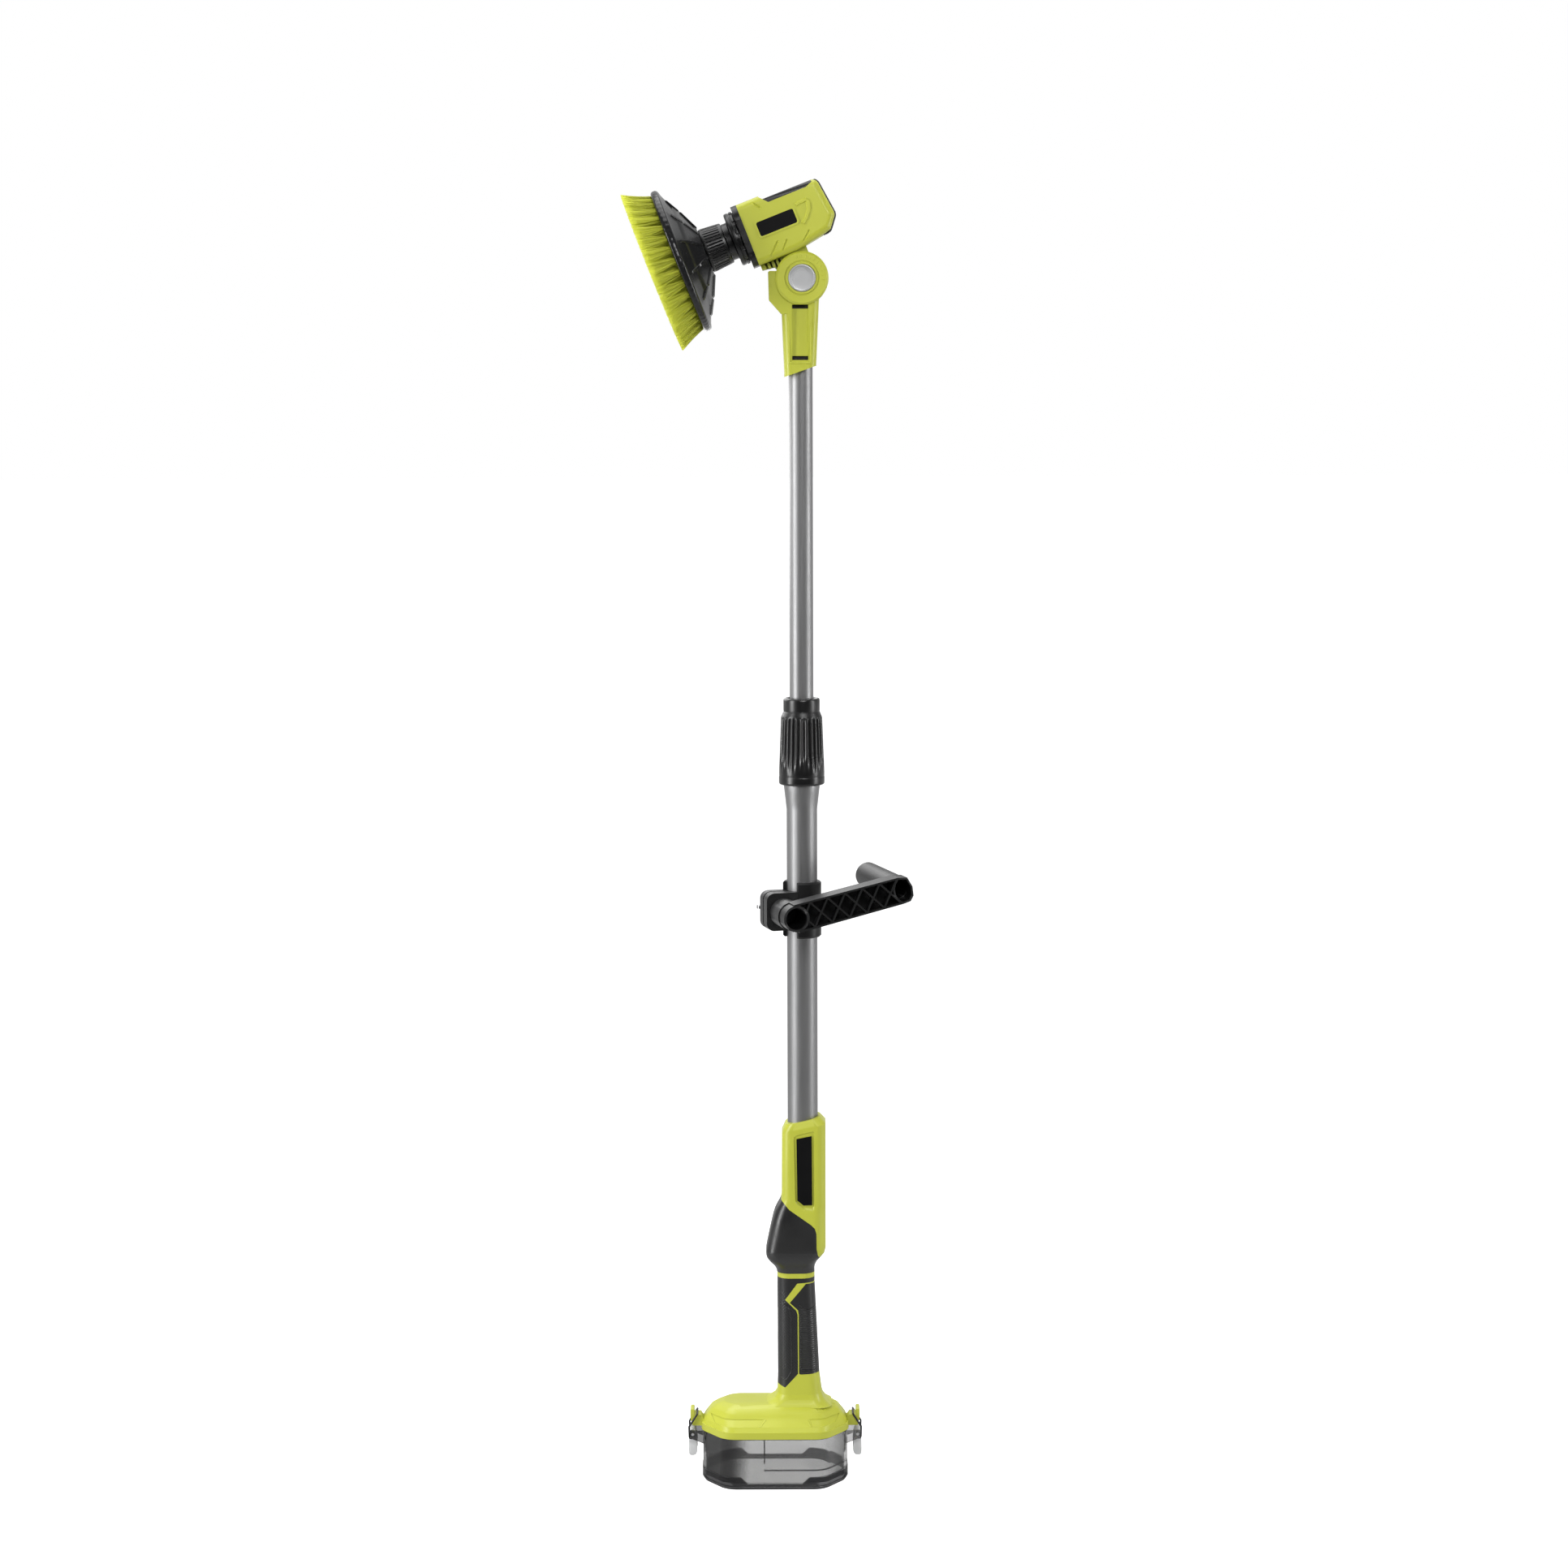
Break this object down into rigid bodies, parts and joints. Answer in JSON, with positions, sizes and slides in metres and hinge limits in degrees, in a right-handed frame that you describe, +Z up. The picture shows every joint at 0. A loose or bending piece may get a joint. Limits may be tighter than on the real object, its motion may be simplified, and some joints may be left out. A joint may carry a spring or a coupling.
{
  "type": "cordless telescopic scrubber",
  "caption": "Cordless scrubber on a telescopic pole: round bristle brush on a tilting motor head, twist lock, clamped side handle, trigger grip and a latched battery bin it stands on.",
  "frame": {"origin": "on the line of the poles, at the underside of the battery bin, on the floor it stands on", "axes": "+Z up along the poles, -X towards the brush, +Y away from the lock button"},
  "size_m": [0.2908, 0.1666, 1.327],
  "materials": {
    "lime_plastic": "satin moulded plastic",
    "soft_grey": "soft overmould",
    "black_plastic": "satin black plastic",
    "gloss_black": "gloss black plastic",
    "bristle": "nylon bristle",
    "grey_aluminium": "satin anodised",
    "smoky_clear": "smoky clear plastic",
    "clear_lever": "clear plastic",
    "seal": "rubber",
    "steel": "steel",
    "black_wire": "blackened wire",
    "silver_button": "silver paint",
    "contact": "bright"
  },
  "bodies": {
    "base": {"bin": "smoky_clear", "lid_gasket": "seal", "lid": "lime_plastic", "battery_socket": "black_plastic", "battery_terminals": "contact", "lid_screws": "steel", "latch_pins": "steel", "handle_shell_near": "lime_plastic", "handle_shell_far": "lime_plastic", "bulge_cover": "soft_grey", "grip_pad_front": "soft_grey", "grip_pad_rear": "soft_grey", "barrel_plate": "black_plastic", "handle_screws": "steel", "switch": "black_plastic", "trigger_spring": "steel", "outer_pole": "grey_aluminium", "lock_sleeve": "black_plastic", "collet": "black_plastic"},
    "trigger_paddle": {"trigger": "soft_grey"},
    "collar": {"twist_collar": "black_plastic"},
    "upper_pole": {"inner_pole": "grey_aluminium", "guide_bush": "black_plastic", "fork_near": "lime_plastic", "fork_far": "lime_plastic", "fork_screw": "steel", "pivot_bolt": "steel", "pivot_nut": "steel", "button_spring": "steel"},
    "button": {"lock_button": "silver_button"},
    "head": {"head_shell_near": "lime_plastic", "head_shell_far": "lime_plastic", "head_bumper": "soft_grey", "head_plate": "black_plastic", "head_screws": "steel", "motor": "steel", "gearbox": "steel", "nose_flange": "black_plastic", "nose_ring": "black_plastic", "spindle_bearing": "steel"},
    "brush": {"spindle": "steel", "brush_collar": "black_plastic", "brush_disc": "gloss_black", "bristles": "bristle"},
    "clamp": {"pole_clamp": "black_plastic", "clamp_bolt": "steel", "clamp_washer": "steel"},
    "wing": {"wing_nut": "steel"},
    "side_handle": {"aux_handle": "black_plastic"},
    "lever_right": {"latch_lever_right": "clear_lever"},
    "bail_right": {"wire_bail_right": "black_wire"},
    "lever_left": {"latch_lever_left": "clear_lever"},
    "bail_left": {"wire_bail_left": "black_wire"}
  },
  "joints": [
    {"name": "pole_slide", "type": "slide", "parent": "base", "child": "upper_pole", "axis": [0, 0, 1], "range_m": [-0.31, 0]},
    {"name": "twist_collar_turn", "type": "hinge", "parent": "base", "child": "collar", "pos_m": [0, 0, 0.77], "axis": [0, 0, 1], "range_deg": [0, 90]},
    {"name": "head_tilt", "type": "hinge", "parent": "upper_pole", "child": "head", "pos_m": [0.0015, 0, 1.23], "axis": [0, 1, 0], "range_deg": [0, 111.5]},
    {"name": "brush_spin", "type": "hinge", "parent": "head", "child": "brush", "pos_m": [-0.02049, 0, 1.28582], "axis": [0.9304, 0, 0.3665], "continuous": true},
    {"name": "lock_button_press", "type": "slide", "parent": "upper_pole", "child": "button", "axis": [0, 1, 0], "range_m": [0, 0.004], "stiffness_N_per_m": 1500, "deforming": ["button_spring"]},
    {"name": "trigger_pull", "type": "slide", "parent": "base", "child": "trigger_paddle", "axis": [1, 0, 0], "range_m": [0, 0.004], "stiffness_N_per_m": 1500, "deforming": ["trigger_spring"]},
    {"name": "clamp_slide", "type": "slide", "parent": "base", "child": "clamp", "axis": [0, 0, 1], "range_m": [-0.17, 0.065]},
    {"name": "side_handle_swing", "type": "hinge", "parent": "clamp", "child": "side_handle", "pos_m": [-0.02367, -0.00706, 0.596], "axis": [-0.2857, 0.9583, 0], "range_deg": [-40, 64]},
    {"name": "wing_nut_turn", "type": "hinge", "parent": "clamp", "child": "wing", "pos_m": [-0.02367, -0.00706, 0.596], "axis": [-0.2857, 0.9583, 0], "continuous": true},
    {"name": "lever_right_open", "type": "hinge", "parent": "base", "child": "lever_right", "pos_m": [0.0557, 0, 0.048], "axis": [0, -1, 0], "range_deg": [0, 110]},
    {"name": "bail_right_swing", "type": "hinge", "parent": "lever_right", "child": "bail_right", "pos_m": [0.0592, 0, 0.0445], "axis": [0, -1, 0], "range_deg": [-110, 0]},
    {"name": "lever_left_open", "type": "hinge", "parent": "base", "child": "lever_left", "pos_m": [-0.1147, 0, 0.048], "axis": [0, 1, 0], "range_deg": [0, 110]},
    {"name": "bail_left_swing", "type": "hinge", "parent": "lever_left", "child": "bail_left", "pos_m": [-0.1182, 0, 0.0445], "axis": [0, 1, 0], "range_deg": [-110, 0]}
  ],
  "couplings": [
    {"joint": "bail_right_swing", "follows": "lever_right_open", "ratio": -1},
    {"joint": "bail_left_swing", "follows": "lever_left_open", "ratio": -1}
  ]
}
